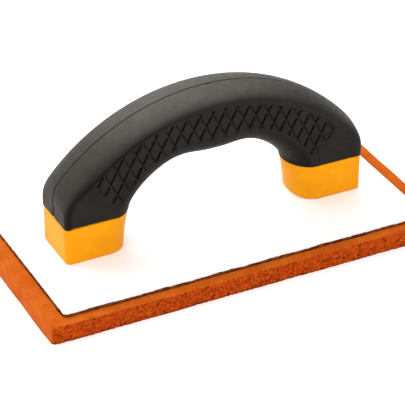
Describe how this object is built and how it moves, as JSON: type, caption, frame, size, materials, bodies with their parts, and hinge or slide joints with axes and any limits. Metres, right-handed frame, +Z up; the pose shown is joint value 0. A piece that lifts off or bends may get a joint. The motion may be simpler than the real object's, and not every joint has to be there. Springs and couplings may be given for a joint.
{
  "type": "hand float",
  "caption": "Rubber-faced hand float: cellular sponge pad bonded to a white backing plate, with an arched soft-grip handle on two hollow feet screwed on from beneath.",
  "frame": {"origin": "middle of the pad's working face, which is the lowest face", "axes": "+X along the float's length and the handle's arch, +Y across it, +Z up through the handle; the working face looks along -Z"},
  "size_m": [0.2032, 0.104, 0.0807],
  "materials": {
    "sponge_rubber": "open-cell cut sides with dark pits, smooth moulded skin on top",
    "adhesive": "set contact adhesive, uneven satin bead",
    "white_plate": "fine moulded satin",
    "yellow_core": "smooth satin moulding",
    "soft_grip": "soft matte overmould",
    "screw_steel": "zinc plated"
  },
  "bodies": {
    "root": {"sponge_pad": "sponge_rubber", "adhesive_layer": "adhesive", "backing_plate": "white_plate", "handle_core": "yellow_core", "grip_sleeve": "soft_grip", "plate_screw_1": "screw_steel", "plate_screw_2": "screw_steel", "plate_screw_3": "screw_steel", "plate_screw_4": "screw_steel"}
  },
  "joints": []
}
